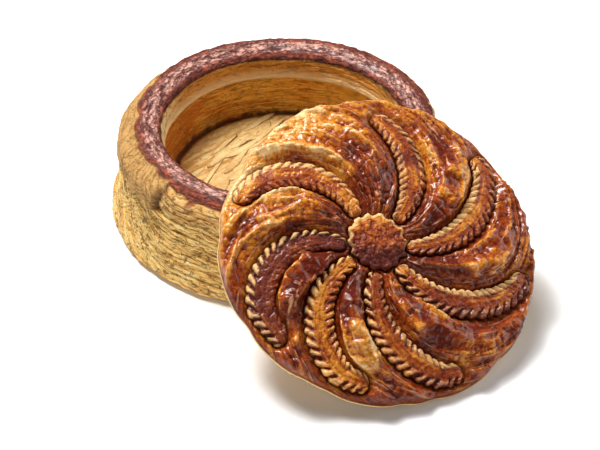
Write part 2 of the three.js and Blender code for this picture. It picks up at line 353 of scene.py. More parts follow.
def case_finish():
    finish, shader, spot = new_finish("layered_crust")
    x, y, z = spot
    count, scars, tone, flap, hem, skirt = masks(x, "count", "scars", "tone", "flap", "hem", "skirt")
    browned, inside, floor, depth = masks(x, "browned", "inside", "floor", "depth")
    crag, band, lip = masks(x, "crag", "band", "lip")

    patches = clouds(spot, 0.03, 0.05)
    grain = clouds(spot, 0.5, 0.7, detail=4.0, roughness=0.7)
    wisps = clouds(spot, 0.06, 0.8, detail=3.0, roughness=0.6)
    strokes = clouds((x, y, count), 0.12, 1.9, detail=3.0, roughness=0.6)
    cuts = clouds((x, y, scars), 0.2, 2.2, detail=3.0, roughness=0.6)
    lines = larger(leaf_gaps(x, y, count, 0.36) * 0.8, leaf_gaps(x, y, scars, 0.2) * 0.7)
    dashes = larger(smooth(strokes, 0.56, 0.68), smooth(cuts, 0.55, 0.66)) * 0.8
    gap = larger(lines, dashes) * (1 - larger(flap * 0.3, band * 0.6))
    pits = smooth(grain + (patches - 0.5) * 0.3, 0.58, 0.7)

    wall = tint(LEAF_GOLD, LEAF_PALE, smooth(tone * 0.5 + wisps * 0.5, 0.36, 0.58))
    wall = tint(wall, LEAF_AMBER, smooth(patches, 0.5, 0.72) * 0.5)
    # Pale streaks on the wall: partly pale leaves, partly a painted highlight on lit leaf edges.
    wall = tint(wall, LEAF_CREAM_AND_HIGHLIGHT, smooth(0.5 - smaller(strokes, cuts), 0.06, 0.16) * 0.8)
    wall = tint(wall, WALL_TOP_TAN, smooth(z, *WALL_TOP_STARTS) * 0.6)
    wall = tint(wall, FLAP_TAN, flap * 0.7)
    # Painted shadow along the flap's edge and in the cut at its end.
    wall = tint(wall, FLAP_EDGE_PAINTED_SHADOW, hem * 0.9)
    wall = tint(wall, SKIRT_BROWN, skirt * smooth(grain + crag, 0.6, 1.1) * 0.9)
    # The band is paler at its left and front, partly its own cream and partly painted light.
    band_skin = tint(BAND_CREAM, BAND_GOLD, smooth(y + x * 0.6, *BAND_PAINTED_LIGHT_FADE))
    wall = tint(wall, tint(band_skin, BAND_STROKE, smooth(strokes, 0.5, 0.62) * 0.6), band)

    # The lining's gold varies with noise and grows towards +x, so the left inner wall is darker as painted
    # shade.
    golden = smooth(wisps * 0.6 + patches * 0.4 + x * 0.002, 0.38, 0.62)
    crumb = tint(wall, tint(LINING_ORANGE, LINING_GOLD, golden), inside)
    crumb = tint(crumb, GAP_BROWN, larger(gap * (1 - inside * 0.5), pits * 0.6) * (1 - lip))
    # A painted highlight on the band's lower edge, the lip.
    crumb = tint(crumb, LIP_PAINTED_HIGHLIGHT, lip * 0.7)
    crumb = tint(crumb, tint(BED_TAN, BED_CREAM, smooth(fibres(x, y, z), 0.36, 0.6)), floor)

    glaze, glaze_height, on_top = rim_glaze(x, y, grain)
    # The depth mask lays painted shade over the crust.
    feed(shader, grain * 0.5 + between(gap * -0.6 - strokes - cuts, glaze_height, browned), 1.0,
         Base_Color=tint(tint(crumb, glaze, browned), CREVICE_PAINTED_SHADE, depth * 0.9),
         Roughness=between(0.72, 0.42, browned * on_top) + (grain - 0.5) * 0.3,
         Coat_Weight=browned * on_top * 0.3, Coat_Roughness=0.22, Specular_IOR_Level=0.3)
    return finished(finish)


layered_crust = case_finish()

# %% [markdown]
# ### How glazed dough browns
# Egg wash goes from pale gold through amber and mahogany to almost black as it bakes. Each piece could
# have a ramp of its own, but the lid, its strips and the rosette were brushed and baked together. They
# all take their colours from this one scale, so they differ mainly in how far along it each spot has
# come.

# %% How glazed dough browns
BURNT, MAHOGANY, AMBER, PALE_GOLD = (
    colour(92, 26, 12), colour(148, 63, 20), colour(210, 134, 40), colour(250, 208, 144))
WARM_SHEEN = colour(255, 200, 172)


def browned_dough(tone):
    """Glazed dough from burnt, at 0, through mahogany and amber to pale gold, at 1."""
    dark = tint(BURNT, MAHOGANY, smooth(tone, 0.0, 0.4))
    amber = tint(dark, AMBER, smooth(tone, 0.36, 0.74))
    return tint(amber, PALE_GOLD, smooth(tone, 0.72, 1.1))


print("from burnt to pale gold, red goes from", round(BURNT[0], 2), "to", round(PALE_GOLD[0], 2))

# %% [markdown]
# ### The lid's glaze
# The lid was brushed with egg twice, so it shines. It baked darkest round the middle and at one spot,
# and is paler towards its far edge, partly pale dough and partly painted light. The side that the knife
# cut has no egg and is pale too. One ramp over noise would miss these slow changes, so the tree below
# works them out as masks, because it knows where the strips lie. The material adds only what is fine:
# clouds, streaks along the folds, and pale streaks painted as highlights.

# %% The lid's glaze
PAINTED_HIGHLIGHT_STREAK, CONTACT_SHADE = colour(236, 172, 122), colour(48, 12, 6)
CUT_CREAM, CUT_BROWN = colour(250, 212, 146), colour(190, 122, 54)


def lid_finish():
    finish, shader, spot = new_finish("lid_glaze")
    border, crease, contact, relief, leaf = masks(spot[0], "border", "crease", "contact", "relief", "leaf")
    fold_x, fold_y, out = masks(spot[0], "fold_x", "fold_y", "out")

    grain = clouds(spot, 0.4, detail=4.0, roughness=0.7)
    crinkle = ridges(clouds(spot, 0.22, detail=3.0), 14)
    streak = noise(fold_x * 26, fold_y * 26, out * 0.07, detail=3.0)
    mottled = (clouds(spot, 0.045) - 0.5) * 1.2 + (grain - 0.5) * 0.6 + (streak - 0.5) * 0.9
    tone = relief + mottled - crinkle * 0.2 + crease * 0.1
    # Pale streaks along the folds are painted highlights over a slight bump, kept out of the creases.
    highlight_streaks = smooth(noise(fold_x * 34, fold_y * 34, out * 0.11 + 7), 0.6, 0.7) * (1 - crease)
    skin = tint(browned_dough(tone), PAINTED_HIGHLIGHT_STREAK, highlight_streaks * 0.55)
    shade = larger(contact * 0.9, smooth(border, 0.05, 0.4) * 0.6)
    cut = tint(CUT_CREAM, CUT_BROWN, (1 - leaf) * 0.8 + (grain - 0.5) * 0.8)

    feed(shader, grain * 0.1 - crinkle * 0.25 + streak * 0.5 + highlight_streaks * 0.5, 0.8,
         Base_Color=tint(tint(skin, CONTACT_SHADE, shade), cut, smooth(border, 0.45, 0.8)),
         Roughness=between(0.3, 0.75, border) + (grain - 0.5) * 0.2,
         Coat_Weight=(1 - smooth(border, 0.0, 0.2)) * 0.5, Coat_Roughness=0.13,
         Specular_IOR_Level=0.2, Specular_Tint=WARM_SHEEN)
    return finished(finish)


lid_glaze = lid_finish()

# %% [markdown]
# ### The strips' and the rosette's glaze
# A fluted wheel cut the strips, and little egg ran down their cut teeth, so the teeth are cream and the
# back of each strip is brown; the cream is partly a painted highlight, stronger on the lit side. The
# rosette has the same finish with less shine. One function makes both materials, and each piece's mesh
# says how long it baked and which side is painted paler, as painted light, and which darker, as painted
# shade.

# %% The strips' and the rosette's glaze
TOOTH_CREAM_AND_HIGHLIGHT, DEEP_PURPLE, FOOT_SHADE = colour(248, 200, 134), colour(86, 36, 36), colour(52, 14, 6)


def topping_finish(name, shine):
    finish, shader, spot = new_finish(name)
    crest, groove, foot, lump = masks(spot[0], "crest", "groove", "foot", "lump")
    baked, sheltered, mile, lane = masks(spot[0], "baked", "sheltered", "mile", "lane")

    grain = clouds(spot, 0.45, detail=4.0, roughness=0.7)
    streaks = noise(mile * 0.06, lane * 4, baked * 9, detail=3.0)
    mottled = (clouds(spot, 0.06) - 0.5) + (streaks - 0.5) * 1.2 + (grain - 0.5) * 0.9 + (lump - 0.5) * 0.8
    # Tone: the painted light side makes one side of a strip paler and the other darker, and the grooves
    # between beads are darker, as painted light and shade
    tone = 0.57 - baked * 0.4 + sheltered * 0.6 + mottled - groove * 0.6
    # Deep purple where the strip baked long and on its darker side: partly its own colour, partly painted
    # shade
    skin = tint(browned_dough(tone), DEEP_PURPLE, smooth(baked - sheltered, 0.5, 0.9) * 0.5)
    # Cream teeth: partly the cut teeth's own colour, partly a painted highlight, stronger on the lit side
    skin = tint(skin, TOOTH_CREAM_AND_HIGHLIGHT, smooth(crest + (grain - 0.5) * 0.6, 0.15, 0.8) * 0.8)

    feed(shader, grain * 0.5 + streaks * 0.8, 1.2,
         Base_Color=tint(skin, FOOT_SHADE, foot * 0.85),
         Roughness=0.42 + (grain - 0.5) * 0.3,
         Coat_Weight=(1 - crest * 0.5) * shine, Coat_Roughness=0.14,
         Specular_IOR_Level=0.3, Specular_Tint=WARM_SHEEN)
    return finished(finish)


strip_glaze = topping_finish("strip_glaze", shine=0.35)
rosette_glaze = topping_finish("rosette_glaze", shine=0.1)

# %% [markdown]
# ### Crumb
# Where the lid was lifted off and the soft dough scooped out, torn leaves lie on the floor of the case.
# They saw no egg and little heat, so they are dull cream with golden edges. Noise alone would colour
# them without regard to their shape, so the edges come from a mask that each leaf carries.

# %% Crumb
CRUMB_CREAM, CRUMB_GOLD, CRUMB_EDGE = colour(212, 184, 122), colour(190, 146, 80), colour(170, 122, 62)


def crumb_finish():
    finish, shader, spot = new_finish("floor_crumb")
    edge = masks(spot[0], "edge")[0]
    grain = clouds(spot, 0.6, 0.9, detail=3.0, roughness=0.65)
    golden = clouds(spot, 0.07, 0.3, detail=3.0) * 0.6 + grain * 0.4
    dough = tint(CRUMB_CREAM, CRUMB_GOLD, smooth(golden, 0.36, 0.66))
    feed(shader, grain, 0.8,
         Base_Color=tint(dough, CRUMB_EDGE, smooth(edge + (grain - 0.5) * 0.6, 0.55, 1.1) * 0.75),
         Roughness=0.62 + (grain - 0.5) * 0.3)
    return finished(finish)


floor_crumb = crumb_finish()

# %% [markdown]
# ## Trees that make pieces
# Nearly every piece here is a sheet of dough rolled up into a closed skin: a flat grid whose columns go
# round the piece and whose rows go from one end to the other. A tree bends the grid to the smooth
# shape, welds it where its edges meet, and then pushes its points in and out for the fine relief.
# Sculpting could give the same relief, but a rule can be changed and run again. The rules below are in
# millimetres.

# %% Start, run and end a tree
SOCKETS = {int: "NodeSocketInt", float: "NodeSocketFloat", bpy.types.Object: "NodeSocketObject",
           bpy.types.Collection: "NodeSocketCollection", bpy.types.Material: "NodeSocketMaterial"}


def new_tree(title, sizes):
    """A Geometry Nodes tree with a named input for each size, given as wires."""
    tree = bpy.data.node_groups.new(title, "GeometryNodeTree")
    tree.interface.new_socket("Piece", in_out="OUTPUT", socket_type="NodeSocketGeometry")
    for name, value in sizes.items():
        tree.interface.new_socket(name, in_out="INPUT", socket_type=SOCKETS[type(value)])
    entry = tree.nodes.new("NodeGroupInput")
    return {name: Wire(tree, entry.outputs[name]) for name in sizes}


def end_tree(piece, material):
    """Ends a tree in smooth shading, Realize Instances and Set Material."""
    soft = piece.node("GeometryNodeSetShadeSmooth", inputs={0: piece})
    real = soft.node("GeometryNodeRealizeInstances", inputs={0: soft})
    done = real.node("GeometryNodeSetMaterial", inputs={0: real, "Material": material})
    plug(piece.tree.nodes.new("NodeGroupOutput").inputs[0], done)
    return piece.tree


def run_tree(tree, name, sizes):
    """Runs a tree once and keeps its result as a plain mesh."""
    piece = linked(name, bpy.data.meshes.new(name))
    modifier = piece.modifiers.new("maker", "NODES")
    modifier.node_group = tree
    for item in tree.interface.items_tree:
        if item.in_out == "INPUT":
            modifier[item.identifier] = sizes[item.name]
    graph = bpy.context.evaluated_depsgraph_get()
    made = bpy.data.meshes.new_from_object(piece.evaluated_get(graph), preserve_all_data_layers=True,
                                           depsgraph=graph)
    piece.modifiers.remove(modifier)
    piece.data = made
    print(name, sum(len(face.vertices) - 2 for face in made.polygons), "triangles")
    return piece


print("a tree's inputs can be of", len(SOCKETS), "kinds")

# %% Steps that the trees share
WELD_DISTANCE = 1e-4


def flat_sheet(size):
    """A grid, with each point's share of the way round and of the way along."""
    grid = size["Columns"].node("GeometryNodeMeshGrid", inputs={
        "Size X": 1.0, "Size Y": 1.0, "Vertices X": size["Columns"] + 1, "Vertices Y": size["Rows"]})
    across, along, _ = parts(grid.node("GeometryNodeInputPosition"))
    return grid, across + 0.5, along + 0.5


def store(piece, **fields):
    """Keeps values on the piece's points, one after the other, so a later one reads those before it."""
    for name, field in fields.items():
        piece = piece.node("GeometryNodeStoreNamedAttribute", {"data_type": "FLOAT", "domain": "POINT"},
                           {"Geometry": piece, "Name": name, "Value": field})
    return piece


def recall(piece, name):
    return piece.node("GeometryNodeInputNamedAttribute", {"data_type": "FLOAT"}, {"Name": name})


def bend(piece, x, y, z):
    """Puts the sheet's points in place and welds its seam and its two ends."""
    bent = piece.node("GeometryNodeSetPosition", inputs={"Geometry": piece, "Position": vector(x, y, z)})
    return bent.node("GeometryNodeMergeByDistance", inputs={"Geometry": bent, "Distance": WELD_DISTANCE})


def set_down(piece, spot=(0, 0, 0), tilt=0):
    """From millimetres to metres, tilted about X and moved to a spot in mm."""
    return piece.node("GeometryNodeTransform", inputs={
        "Geometry": piece, "Translation": Vector(spot) * MM, "Rotation": (tilt, 0, 0),
        "Scale": (MM, MM, MM)})


def push(piece, relief):
    """Moves each point along its normal, by millimetres."""
    offset = scaled(piece.node("GeometryNodeInputNormal"), relief * MM)
    return piece.node("GeometryNodeSetPosition", inputs={"Geometry": piece, "Offset": offset})


def place_in_mm(piece):
    return parts(scaled(piece.node("GeometryNodeInputPosition"), 1 / MM))


def shape_of(thing):
    """The mesh of an object that is an input of the tree."""
    return thing.node("GeometryNodeObjectInfo", inputs={"Object": thing}, output="Geometry")


print("points closer than", WELD_DISTANCE, "mm are welded")

# %% Profiles
PROFILE_BLUR = 2


def profile_mesh(name, corners, columns):
    """A row of points through the corners, as a mesh that carries one value for each column.

    Each corner is its values and the number of rows that lead to it. Averaging neighbours rounds the line.
    """
    steps = np.cumsum([rows for *_, rows in corners])
    row = np.arange(steps[-1] + 1)
    mesh = bpy.data.meshes.new(name)
    mesh.from_pydata([(0, 0, i) for i in row], [], [])
    for i, label in enumerate(columns):
        line = np.interp(row, steps, [corner[i] for corner in corners])
        for _ in range(PROFILE_BLUR):
            line[1:-1] = (line[:-2] + 2 * line[1:-1] + line[2:]) / 4
        mesh.attributes.new(label, "FLOAT", "POINT").data.foreach_set("value", line)
    print(name, len(row), "rows")
    return linked(name, mesh)


def read_profile(size, along, columns):
    """The values that a profile carries at a share of the way along it."""
    points = shape_of(size["Profile"])
    row = along * (size["Rows"] - 1) + 0.5
    settings = {"data_type": "FLOAT", "domain": "POINT", "clamp": True}
    return {name: points.node("GeometryNodeSampleIndex", settings,
                              {"Geometry": points, "Value": recall(points, name), "Index": row})
            for name in columns}


print("profiles are rounded", PROFILE_BLUR, "times")

# %% [markdown]
# ## The case
# The case is a cup that was cut and baked. A Spin or a Screw modifier would turn its profile into a
# perfectly round cup, but the real wall isn't round any more, because the dough rose more on one side,
# and each leaf stands out a little or tucks in. So a tree turns the profile, and each point asks where
# it is. The rule for a leaf takes the height along the wall, bent by slow noise, and counts leaves
# along it.

# %% The case's profile, from the middle of its base up the wall, over the rim and down to the floor
# The depth column is painted shade: dark in the crevice at the wall's foot, under the band's lip, at the
# base and along the rim's borders.
CASE_COLUMNS = ("radius", "height", "bulge", "wave", "leafy", "craggy", "browned", "inside", "depth",
                # The lip column marks the band's lower edge, which carries a painted highlight.
                "floor", "band", "lip")
CASE_CORNERS = [
    (0.0, 0.0, 0, 0, 0.0, 0.0, 0, 0, 0, 0, 0, 0, 0),
    (100.0, 0.0, 1, 0, 0.0, 0.0, 0, 0, 0, 0, 0, 0, 6),
    (106.0, 2.6, 1, 0, 0.6, 0.3, 0, 0, 0.2, 0, 0, 0, 8),
    (101.0, 24.0, 0.86, 0, 1.0, 0.5, 0, 0, 0, 0, 0, 0, 60),
    (99.5, 42.0, 0.74, 0, 1.0, 0.5, 0, 0, 0, 0, 0, 0, 52),
    (98.6, 51.0, 0.68, 0, 0.9, 0.6, 0.12, 0, 0, 0, 0, 0, 26),
    (98.2, 54.5, 0.52, 0, 0.7, 0.7, 0.24, 0, 0, 0, 0, 0, 8),
    (97.2, 56.8, 0.1, 0, 0.4, 0.9, 0.35, 0, 0.4, 0, 0, 0, 9),
    (95.0, 58.6, 0, 0, 0.0, 1.0, 0.8, 0, 0.3, 0, 0, 0, 6),
    (91.5, 59.7, 0, 0.2, 0.0, 1.0, 1, 0, 0, 0, 0, 0, 7),
    (86.5, 60.2, 0, 0.5, 0.0, 1.0, 1, 0, 0, 0, 0, 0, 8),
    (81.5, 59.4, 0, 0.8, 0.0, 1.0, 1, 0, 0, 0, 0, 0, 8),
    (78.6, 57.8, 0, 1, 0.1, 0.8, 0.95, 0, 0.4, 0, 0, 0, 6),
    (77.2, 56.0, 0, 1, 0.2, 0.6, 0.5, 0, 0.7, 0, 0, 0, 5),
    (76.8, 54.4, 0, 1, 0.4, 0.4, 0.05, 0.05, 0.2, 0, 1, 0, 5),
    (76.2, 50.0, 0, 1, 0.5, 0.4, 0, 0.05, 0, 0, 1, 0, 12),
    (75.0, 42.3, 0, 1, 0.3, 0.4, 0, 0.1, 0, 0, 1, 1, 15),
    (77.5, 39.5, 0, 0.9, 0.2, 0.3, 0, 1, 0.5, 0, 0, 0, 6),
    (76.3, 28.0, 0, 0.5, 0.3, 0.4, 0, 1, 0, 0, 0, 0, 14),
    (74.5, 17.0, 0, 0, 0.3, 0.9, 0, 1, 0.3, 0, 0, 0, 14),
    (72.0, 12.8, 0, 0, 0.0, 1.0, 0, 1, 0.95, 0, 0, 0, 6),
    (67.0, 14.2, 0, 0, 0.0, 0.8, 0, 1, 0.1, 0.8, 0, 0, 6),
    (0.0, 14.2, 0, 0, 0.0, 0.8, 0, 1, 0, 1, 0, 0, 34),
]
case_line = profile_mesh("case_profile", CASE_CORNERS, CASE_COLUMNS)

# %% The case's sizes
def radians(*degrees):
    return [math.radians(angle) for angle in degrees]


case_sizes = {
    "Columns": 310, "Rows": len(case_line.data.vertices), "Profile": case_line, "Crust": layered_crust,
    "Out of round": 1.3, "Bulge": 9.0, "Mouth wave": 1.6, "Rim wave": 0.8, "Back rise": 2.4,
    "Leaf sway": 3.0, "Leaf pitch": 3.0, "Leaf depth": 1.7, "Leaf sweep": 55.0, "Scar pitch": 5.3,
    "Crag depth": 3.4, "Flap depth": 3.0,
}
CASE_HEIGHT = 60.0
BULGE_AT, BACK_AT = radians(195, 110)
# The angle from which the leaves' sweep is counted, and the turns over which they go down and climb again
SWEEP_FROM = math.radians(100)
SWEEP_DOWN, SWEEP_UP = radians(50, 105), radians(200, 340)
# The flap of skin that hangs under the rim: its angles, the cut at its end, and its heights
FLAP_START, FLAP_FULL, FLAP_CUT, FLAP_END = radians(95, 140, 195, 196.4)
FLAP_GAP = math.radians(1.3)
# The turns over which the painted shadow along the flap's edge comes in
FLAP_SHADOW_FROM = radians(140, 165)
FLAP_BOTTOM, FLAP_TOP = (41.5, 42.2), (50.0, 57.0)
FLAP_GAP_BOTTOM, FLAP_GAP_TOP = (41.0, 43.0), (55.0, 58.0)
# Radii at which the outer face, the rim's outer edge and the skirt of brown below it begin
OUTER_FACE, RIM_EDGE, SKIRT = (90.0, 94.0), (88.0, 92.0), (80.0, 88.0)
# Radii and shares of the height over which the wall's and the rim's waves come in
WALL_WAVES, RIM_WAVES, BACK_WAVES = (80.0, 96.0), (0.85, 1.0), (0.7, 0.95)
print("the flap covers", round(math.degrees(FLAP_END - FLAP_START)), "degrees of the wall")

# %% The smooth case
def nearness(angle, at):
    """1 at an angle, and 0 on the opposite side."""
    return 0.5 + 0.5 * cosine(angle - at)


def turned_case(size):
    """The smooth case: its profile turned round the middle, out of round and bulging."""
    sheet, around, along = flat_sheet(size)
    angle = around * TAU
    line = read_profile(size, along, CASE_COLUMNS)

    wander = size["Out of round"] * (0.6 * sine(angle * 2 + 0.4) + 0.4 * sine(angle * 3 + 1.9))
    mouth = size["Mouth wave"] * (0.7 * sine(angle * 2 + 2.2) + 0.3 * sine(angle * 5))
    bulge = size["Bulge"] * nearness(angle, BULGE_AT) ** 2 * line["bulge"]
    outside = smooth(line["radius"], *WALL_WAVES)
    radius = line["radius"] + bulge + wander * outside + mouth * line["wave"]

    rise = line["height"] / CASE_HEIGHT
    sway = size["Leaf sway"] * sine(rise * math.pi) * sine(angle * 2 + 0.9) * outside
    ripple = 0.6 * sine(angle * 3 + 1) + 0.4 * sine(angle * 7 + 2.6)
    rim = size["Rim wave"] * ripple * smooth(rise, *RIM_WAVES)
    back = size["Back rise"] * nearness(angle, BACK_AT) * smooth(rise, *BACK_WAVES) * outside

    sheet = store(sheet, angle=angle, **line)
    return bend(sheet, radius * cosine(angle), radius * sine(angle), line["height"] + sway + rim + back)


case_size = new_tree("case", case_sizes)
case_piece = set_down(turned_case(case_size))
print("the case's tree has", len(case_piece.tree.nodes), "nodes so far")

# %% The leaves' edges
def leaf_sweep(angle, size):
    """On the left the leaves sweep down from the rim to the base, and round the back they climb, in mm."""
    turn = part_of_turn(angle, SWEEP_FROM)
    return (smooth(turn, *SWEEP_DOWN) - smooth(turn, *SWEEP_UP)) * size["Leaf sweep"]


def leaf_edges(piece, size):
    """Relief of the leaves' edges in mm, the count of leaves up to a point, and each leaf's tone."""
    x, y, z = place_in_mm(piece)
    height, inside = recall(piece, "height"), recall(piece, "inside")
    drift = (clouds((x, y, z), 0.014, 0.02, detail=3.0) - 0.5) * 18
    drift = drift + leaf_sweep(recall(piece, "angle"), size) * (1 - inside) * (1 - recall(piece, "band"))
    count = (height + drift) / (size["Leaf pitch"] * between(1.0, 0.6, inside))
    leaf = whole(count)
    stands_out = smooth(clouds((x, y, leaf), 0.05, 3.7, detail=3.0), 0.36, 0.64)
    lip = 1 - across_leaf(count) ** 6
    depth = size["Leaf depth"] * (stands_out + lip * 0.55 - 0.95)
    return depth, count, clouds((x, y, leaf), 0.03, 7.3)


print("the wall's leaves are", case_sizes["Leaf pitch"], "mm apart")

# %% The case's relief, and the piece
def case_relief(piece, size):
    """The case's leaves, crags and flap, and the masks that its finish reads."""
    spot = place_in_mm(piece)
    angle, height, radius = recall(piece, "angle"), recall(piece, "height"), recall(piece, "radius")
    crags = clouds(spot, 0.16, 0.2, detail=5.0, roughness=0.65)
    ragged = clouds(spot, 0.09, detail=4.0) - 0.5
    ragged_height = height + ragged * 4
    outer_face = smooth(radius, *OUTER_FACE)
    turn = part_of_turn(angle, 0.0) + ragged * 0.06

    along_flap = smooth(turn, FLAP_START, FLAP_FULL) * (1 - smooth(turn, FLAP_CUT, FLAP_END))
    flap = along_flap * smooth(ragged_height, *FLAP_BOTTOM) * outer_face
    cut = bell((turn - FLAP_END) / FLAP_GAP) * smooth(ragged_height, *FLAP_GAP_BOTTOM)
    cut = cut * (1 - smooth(height, *FLAP_GAP_TOP)) * outer_face
    # A band along the flap's edge, which carries painted shadow together with the cut
    hem = smooth(flap, 0.05, 0.4) * (1 - smooth(flap, 0.5, 0.95)) * smooth(turn, *FLAP_SHADOW_FROM)

    leaves, count, tone = leaf_edges(piece, size)
    scars = (height * 1.3 - leaf_sweep(angle, size) * 0.25 + ragged * 26) / size["Scar pitch"]
    bare = along_flap * smooth(radius, *RIM_EDGE) * 0.28
    browned = smooth(recall(piece, "browned") - bare + ragged * 1.1, 0.35, 0.6)
    # The skirt reads the browning that is stored just before it
    skirt = smooth(recall(piece, "browned") + ragged * 0.4, 0.02, 0.3) * smooth(radius, *SKIRT)
    # Painted shade: the stored depth, broken by the crags, darkens the crevices and the rim's borders.
    depth = smooth(recall(piece, "depth") + (crags - 0.5) * 1.4, 0.35, 0.8)

    piece = store(piece, count=count, scars=scars, tone=tone, flap=flap, hem=larger(hem, cut),
                  browned=browned, skirt=skirt, crag=crags, depth=depth)
    return push(piece, leaves * recall(piece, "leafy") * (1 - 0.4 * flap)
                + (crags - 0.5) * recall(piece, "craggy") * size["Crag depth"]
                + (flap * (1 - smooth(height, *FLAP_TOP)) - cut * 0.5) * size["Flap depth"])


case_tree = end_tree(case_relief(case_piece, case_size), case_size["Crust"])
case = run_tree(case_tree, "case_crust", case_sizes)

# %% [markdown]
# ## Torn leaves on the floor
# The soft middle was lifted out, which left torn leaves of crumb lying on the floor, all drawn the same
# way. Modelling each by hand would take long and show no more. They are one small leaf, a ball pressed
# flat, set on random points with its own turn and size, and then crumpled together by noise, short of
# the wall.

# %% The torn leaves' sizes
leaf_sizes = {
    "Count": 70, "Seed": 5, "Crumb": floor_crumb, "Spread": 62.0, "Floor": 14.2, "Heap": 0.8,
    "Crumple": 2.6, "Reach": 71.0,
}
LEAF_SEGMENTS, LEAF_RINGS = 14, 7
# Half of a leaf's length, width and thickness, and how far it may tip and turn from the fibres, in radians
LEAF_LENGTH, LEAF_WIDTH, LEAF_THICKNESS = (12.0, 30.0), (1.5, 4.5), (0.2, 0.4)
LEAF_ROLL, LEAF_NOD, LEAF_TURN = 0.06, 0.03, 0.5


def chance(seed, draw, low, high):
    """A random value for each point. Each draw has a number of its own."""
    return seed.node("FunctionNodeRandomValue", {"data_type": "FLOAT"},
                     {2: low, 3: high, "Seed": seed + draw}, output=1)


print(leaf_sizes["Count"], "leaves, the longest up to", 2 * LEAF_LENGTH[1], "mm")

# %% The torn leaves' tree
def torn_leaves(size):
    """Flat leaves on random points of the floor."""
    seed = size["Seed"]
    out = chance(seed, 0, 0.0, 1.0) ** 0.5 * size["Spread"]
    angle = chance(seed, 1, 0.0, TAU)
    height = size["Floor"] + chance(seed, 2, 0.0, 1.0) * size["Heap"]
    spots = seed.node("GeometryNodePoints", inputs={
        "Count": size["Count"], "Position": vector(out * cosine(angle), out * sine(angle), height)})

    ball = seed.node("GeometryNodeMeshUVSphere", inputs={
        "Segments": LEAF_SEGMENTS, "Rings": LEAF_RINGS, "Radius": 1.0})
    x, y, _ = parts(ball.node("GeometryNodeInputPosition"))
    leaf = store(ball, edge=size_of(x, y))

    tilt = vector(chance(seed, 3, -LEAF_ROLL, LEAF_ROLL), chance(seed, 4, -LEAF_NOD, LEAF_NOD),
                  chance(seed, 5, FIBRE_TURN - LEAF_TURN, FIBRE_TURN + LEAF_TURN))
    sides = vector(chance(seed, 6, *LEAF_LENGTH), chance(seed, 7, *LEAF_WIDTH),
                   chance(seed, 8, *LEAF_THICKNESS))
    leaves = spots.node("GeometryNodeInstanceOnPoints", inputs={
        "Points": spots, "Instance": leaf, "Rotation": tilt, "Scale": sides})
    return leaves.node("GeometryNodeRealizeInstances", inputs={0: leaves})


def crumple(piece, size):
    """Bends and tears the leaves with noise, and keeps them off the wall."""
    x, y, z = parts(piece.node("GeometryNodeInputPosition"))
    waves = (clouds((x, y, z), 0.07, 0.5, detail=3.0) - 0.5) * size["Crumple"]
    tears = (clouds((x, y, z), 0.25, 1.5) - 0.5) * size["Crumple"]
    keep = smaller(size["Reach"] / larger(size_of(x, y), 1.0), 1.0)
    spot = vector((x + tears) * keep, (y + waves) * keep, larger(z + waves, size["Floor"] - 1))
    return piece.node("GeometryNodeSetPosition", inputs={"Geometry": piece, "Position": spot})


leaf_size = new_tree("torn_leaves", leaf_sizes)
leaf_tree = end_tree(set_down(crumple(torn_leaves(leaf_size), leaf_size)), leaf_size["Crumb"])
leaves = run_tree(leaf_tree, "torn_leaves", leaf_sizes)

# %% [markdown]
# ## The lid's pattern
# The strips, the rosette and the lid share one rule for the height of the lid's top: a flat dome, with
# a lobe of puffed dough between each strip and the next. Laying finished strips on a finished lid would
# need Shrinkwrap, and a shared rule makes them fit from the start. Each strip follows one arc from the
# rosette to the edge, so the whole pattern turns like a pinwheel.

# %% The strips' arcs
LID_RADIUS, LID_EDGE, LID_CROWN, DOME_POWER = 96.0, 7.0, 17.0, 2.4
LID_SPOT, LID_TILT = (-2.5, -123.59, 44.48), math.radians(28.35)
PATTERN_X = -5.0
PINWHEEL_REACH = 84.0
ROSETTE_RADIUS = 17.5
STRIP_INNER_REACH = 18.5
# Direction and distance of each arc's centre from the pattern's middle, its radius and its end, then how
# brown the strip is, how much paler its far side and darker its near side are painted, as painted light
# and shade, and how strong the beads of its two edges are, the outer edge first
STRIP_TABLE = [
    (93.7, 52.0, 48.1, -60, 0.5, 0.1, 0.4, 0.4),
    (152.9, 47.5, 37.9, -25, 0.2, 0.4, 0.35, 0.4),
    (206.2, 49.3, 35.9, 0, 0.85, -0.15, 1.0, 0.15),
    (255.2, 49.6, 42.2, -28, 0.12, 0.05, 1.0, 0.6),
    (302.6, 54.2, 47.4, -46, 0.45, 0.1, 1.0, 0.6),
    (353.1, 54.0, 49.2, -46, 0.55, 0.4, 1.0, 0.7),
    (50.4, 56.3, 56.1, -58, 0.28, 0.3, 0.8, 0.7),
]


def strip_facts(towards, reach, arc, end, baked, paler, outer_beads, inner_beads):
    """A row of the table by name, with the angle at which the strip's arc starts."""
    start = -math.acos((STRIP_INNER_REACH ** 2 - reach ** 2 - arc ** 2) / (2 * reach * arc))
    return {"Towards": math.radians(towards), "Reach": reach, "Arc": arc,
            "Start": start, "End": math.radians(end), "Baked": baked, "Far side paler": paler,
            "Outer beads": outer_beads, "Inner beads": inner_beads}


STRIPS = [strip_facts(*row) for row in STRIP_TABLE]
first_start = round(math.degrees(STRIPS[0]["Start"]), 1)
print(len(STRIPS), "strips, the first from", first_start, "degrees along its arc")

# %% The height of the lid's top
LOBE_HEIGHT = 3.6
LOBE_RISES, LOBE_ENDS = (23.0, 45.0), (69.0, 86.0)
STRIP_HALF_SPREAD = math.radians(12)


def cosine_to_strip(facts, out):
    """Cosine of the angle from an arc's direction to the place where the arc passes a radius."""
    reach, arc = facts["Reach"], facts["Arc"]
    return (out * out + (reach ** 2 - arc ** 2)) / (out * (2 * reach))


def strip_angle(facts, out):
    """Direction from the pattern's middle at which a strip's arc passes a radius."""
    turn = cosine_to_strip(facts, out)
    return facts["Towards"] - turn.math("ARCCOSINE", turn)


